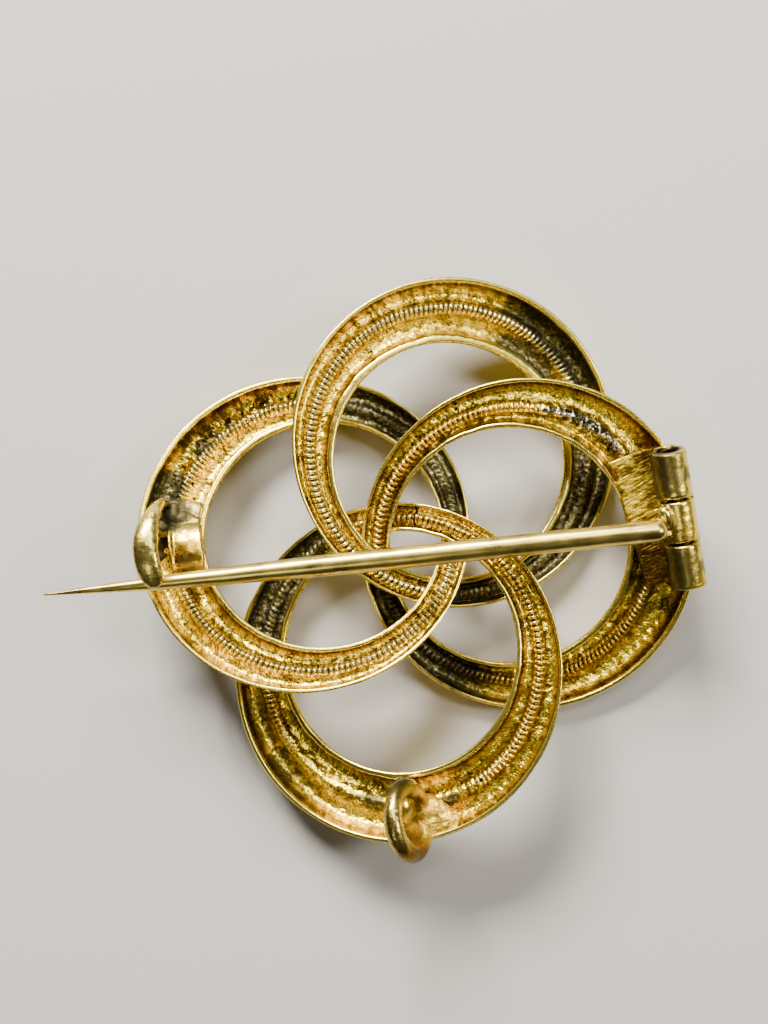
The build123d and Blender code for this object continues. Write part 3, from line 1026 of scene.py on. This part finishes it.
def make_pin(material, seat_material):
    """Pin wire, and the middle knuckle that it is soldered to by a tab with a rolled lip."""
    turns = np.linspace(0.08, math.pi / 2, 14)
    ball = [(-pin_radius * math.cos(a), pin_radius * math.sin(a)) for a in turns]
    body = [(length, pin_radius) for length in np.linspace(1.0, pin_straight, 40)]
    ends = [
        (pin_straight, pin_radius),
        (pin_run, pin_catch_radius),
        (pin_length - point_length, point_shoulder),
        (pin_length - point_radius, point_radius),
    ]
    far, radii = zip(*ends)
    tapering = np.linspace(pin_straight + 0.5, pin_length - 0.1, 50)
    taper = [(x, float(np.interp(x, far, radii))) for x in tapering]
    tip = [(pin_length - 0.02, point_radius * 0.5)]
    mesh = lathe("pin_wire", ball + body + taper + tip, wire_sides)
    for point in mesh.vertices:
        bent = wire_bend * noise.noise(Vector((point.co.x * 0.16, 3.1, 7.7)))
        spot = Vector((point.co.x * 0.5, point.co.y * 1.2, point.co.z * 1.2))
        worn = 1 + wire_wear * noise.noise(spot)
        point.co.z += bent * min(1.0, point.co.x / 6) * min(1.0, abs(pin_run - point.co.x) / 4)
        point.co.y *= worn
        point.co.z *= worn
    mesh.transform(pin_home)
    mesh.materials.append(material)
    wire = new_object("pin_wire", mesh)
    finish_piece(wire, "pin")
    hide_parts("pin_stem")

    middle_start = knuckles["far"] + knuckle_gap
    turning = knuckle("middle_knuckle", middle_start, knuckles["middle"])
    tab_sides = np.linspace(-pin_along - 0.5, -pin_along + 0.5, 4)
    profile = [(-pin_setback, pin_rise - 0.1), (-pin_setback - 0.02, pin_rise - 0.95), (-0.95, 0.05)]
    profile += [(-0.6, 0.3), (-0.5, 0.74), (-0.95, 0.86)]
    tab = np.array([[barrel_middle @ Vector((x, y, z)) for x, z in profile] for y in tab_sides])
    lip_place = Matrix.Translation(barrel_middle @ Vector(lip_middle)) @ hinge_seat.to_3x3().to_4x4()
    lip_place = turned(lip_place, about_z=lip_turn)
    drop = [
        (lip_length * math.cos(a), (lip_width + 0.1 * math.cos(a)) * math.sin(a))
        for a in np.linspace(3.06, 0.08, 20)
    ]
    lip = lathe("lip", drop, lump_sides)
    lip.transform(lip_place @ Matrix.Rotation(math.radians(90), 4, "Z"))
    meshes = [turning, skin("tab", tab), lip]
    seat = fused("pin_seat", meshes, fine_cell, 12, seat_material)
    keep_marks(seat.data, hinge_marks, hinge_seat)
    finish_piece(seat, "pin")
    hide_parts("pin_stem")


def hook_skin():
    """The hook's band, bent over the pin: flat inside and domed outside, narrow at its
    root and rounded at its tip."""
    chart = {key: [row[key] for row in hook_outline] for key in ("angle", "left", "right")}
    angles = np.linspace(hook_root_angle, chart["angle"][-1], 60)
    sides = np.linspace(-1, 1, 15)
    grid = []
    for angle in angles:
        left = float(np.interp(angle, chart["angle"], chart["left"])) * hook_width
        right = float(np.interp(angle, chart["angle"], chart["right"])) * hook_width
        centre, half = (right - left) / 2, (right + left) / 2
        dome = min(1.0, half / (hook_rounding * hook_width))
        turn = math.radians(angle)
        low = hook_radius - hook_thickness / 2
        rise = [dome * (hook_edge + hook_dome * (1 - s * s) ** 0.5) for s in sides]
        outer = [(low + up, centre + half * s) for up, s in zip(rise, sides)]
        inner = [(low, centre + half * s) for s in sides[::-1] * 0.96]
        east, north = math.cos(turn), math.sin(turn)
        grid.append([hook_middle @ Vector((r * east, r * north, w)) for r, w in outer + inner])
    return skin("hook", np.array(grid, float))


def bridge(name, home, half_wide, half_long, low, crown, thickness, lip):
    """A strip of sheet bowed along its length over a place, with one raised edge."""
    grid = []
    for v in np.linspace(-1, 1, 25):
        top = low + crown * (1 - abs(v) ** 2.2)
        wide = half_wide * (1 - 0.12 * abs(v) ** 4)
        edge = [(wide, top - 0.08), (wide - 0.04, top + lip), (wide - 0.17, top + lip * 0.9)]
        edge += [(wide - 0.28, top), (0, top + 0.04), (0.1 - wide, top), (-wide, top - 0.1)]
        edge += [(-wide, top - thickness), (0, top - thickness), (wide, top - thickness)]
        grid.append([home @ Vector((x, v * half_long, z)) for x, z in edge])
    return skin(name, np.array(grid, float))


def unit_ball(name):
    """A ball with a radius of 1."""
    return lathe(name, [(-math.cos(a), math.sin(a)) for a in np.linspace(0.05, 3.09, 18)], lump_sides)


def mound(home, heap, number):
    """A lump of solder on a ring's band, from its row in a chart."""
    lump = unit_ball("mound")
    for point in lump.vertices:
        point.co *= 1 + lump_wear * noise.noise(point.co * 1.7 + Vector((number * 5.0, 0, 0)))
    seat = band_place(home, heap["angle"], heap["inset"], 0, heap["height"])
    lump.transform(seat @ Matrix.Diagonal((*heap["size"], 1.0)))
    return lump


def make_catch(material):
    """Catch: a hook bent over the pin, its foot across the ring and a bowed plate beside it."""
    home = ring_home("left")
    root_turn = math.radians(hook_root_angle)
    root = Vector((hook_radius * math.cos(root_turn), hook_radius * math.sin(root_turn), 0))
    root = home.inverted() @ hook_middle @ root
    foot_home = moved(home, ring_radius - foot_inset, root.y, 0)
    foot_home = turned(foot_home, about_z=foot_turn, about_x=foot_tilt)
    foot_half = wide_band / 2 - 0.5
    foot = bridge("foot", foot_home, foot_half, 0.66, low=-0.24, crown=0.12, thickness=0.4, lip=0.0)
    inset = band_width(catch_plate_angle) - catch_plate_inset
    plate_home = band_place(home, catch_plate_angle, inset, catch_plate_along, 0)
    plate = bridge("catch_plate", plate_home, 0.92, 1.62, low=-0.12, crown=0.62, thickness=0.42, lip=0.09)
    mounds = [mound(home, heap, number) for number, heap in enumerate(foot_heaps)]
    piece = fused("catch", [hook_skin(), foot, plate] + mounds, joined_cell, 4, material)
    keep_marks(piece.data, catch_marks, home)
    finish_piece(piece, "knot")
    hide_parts("catch_ring")


def make_loop(material):
    """Safety loop: a wire ring standing in the channel, in a heap of solder."""
    home = ring_home("bottom")
    base = turned(band_place(home, loop_angle, loop_inset, 0, -loop_sink), about_z=loop_turn)
    place = turned(moved(turned(base, about_x=loop_lean), 0, 0, loop_radius), about_x=90.0)
    turns = np.linspace(0, math.tau, 96, endpoint=False)
    around = np.linspace(0, math.tau, 32, endpoint=False)
    grid = []
    for turn in turns:
        thick = loop_wire * (1 + loop_wear * math.sin(2 * turn + 0.6))
        section = [(loop_radius + thick * math.cos(a), thick * math.sin(a)) for a in around]
        east, north = math.cos(turn), math.sin(turn)
        grid.append([place @ Vector((far * east, far * north, up)) for far, up in section])
    web = unit_ball("web")
    web.transform(moved(place, *web_place) @ Matrix.Diagonal((*web_size, 1.0)))
    meshes = [skin("loop_wire", np.array(grid, float), closed=True), web]
    meshes += [mound(home, heap, number) for number, heap in enumerate(solder_heaps)]
    piece = fused("safety_loop", meshes, joined_cell, 7, material)
    keep_marks(piece.data, loop_marks, home)
    finish_piece(piece, "knot")
    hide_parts("loop_ring")


band_gold = make_band_gold()
crescent_tree = make_crescent_tree(band_gold)
for number, side in enumerate(rings):
    make_ring(side, crescent_tree, 7.0 + 13.0 * number)
fitting_gold = make_fitting_gold()
make_hinge(fitting_gold, make_plate_gold())
make_pin(make_pin_gold(), fitting_gold)
make_catch(fitting_gold)
make_loop(fitting_gold)
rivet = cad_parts["hinge_rivet"]
rivet.data.materials.clear()
rivet.data.materials.append(make_dull_wire())

# Camera, as the photograph was taken, aimed through the picture's middle
lens_pixels = 1200.0
picture_height = 1024.0
camera_place = (3.1811, -3.8876, 66.3478)
camera_turns = (5.8035, 2.5048, -0.4603)
camera_data = bpy.data.cameras.new("camera")
camera_data.sensor_fit = "VERTICAL"
camera_data.sensor_height = 36.0
camera_data.lens = camera_data.sensor_height * lens_pixels / picture_height
camera_data.clip_start = 0.001
camera = new_object("camera", camera_data)
camera.location = Vector(camera_place) * mm
camera.rotation_euler = Euler([math.radians(turn) for turn in camera_turns])
bpy.context.scene.camera = camera

# Pale floor
floor_mesh = bpy.data.meshes.new("floor")
floor_reach = 0.6
floor_corners = [(floor_reach * x, floor_reach * y, 0) for x, y in ((-1, -1), (1, -1), (1, 1), (-1, 1))]
floor_mesh.from_pydata(floor_corners, [], [(0, 1, 2, 3)])
floor = new_object("floor", floor_mesh)
floor_material = bpy.data.materials.new("pale floor")
floor_material.use_nodes = True
floor_shader = floor_material.node_tree.nodes["Principled BSDF"]
floor_shader.inputs["Base Color"].default_value = (0.42, 0.41, 0.395, 1.0)
floor_shader.inputs["Roughness"].default_value = 0.9
floor_mesh.materials.append(floor_material)


def add_softbox(name, place, width, height, watts):
    """A soft rectangular light at a place, turned towards the brooch, in millimetres."""
    data = bpy.data.lights.new(name, "AREA")
    data.shape = "RECTANGLE"
    data.size = width * mm
    data.size_y = height * mm
    data.energy = watts
    data.color = warm_white
    lamp = new_object(name, data)
    lamp.location = Vector(place) * mm
    lamp.rotation_euler = (Vector(light_aim) - Vector(place)).to_track_quat("-Z", "Y").to_euler()


warm_white = (1.0, 0.95, 0.86)
light_aim = (2.0, 0.0, 2.0)
add_softbox("main softbox", (-75.0, 235.0, 170.0), width=150.0, height=85.0, watts=3.9)
add_softbox("overhead softbox", (70.0, 140.0, 280.0), width=130.0, height=80.0, watts=0.5)
add_softbox("side softbox", (210.0, 20.0, 200.0), width=70.0, height=70.0, watts=0.6)
add_softbox("front softbox", (-60.0, -150.0, 280.0), width=80.0, height=60.0, watts=0.08)
world = bpy.data.worlds.new("studio")
bpy.context.scene.world = world
world.use_nodes = True
background = world.node_tree.nodes["Background"]
background.inputs["Color"].default_value = (1.0, 0.97, 0.92, 1.0)
background.inputs["Strength"].default_value = 0.04
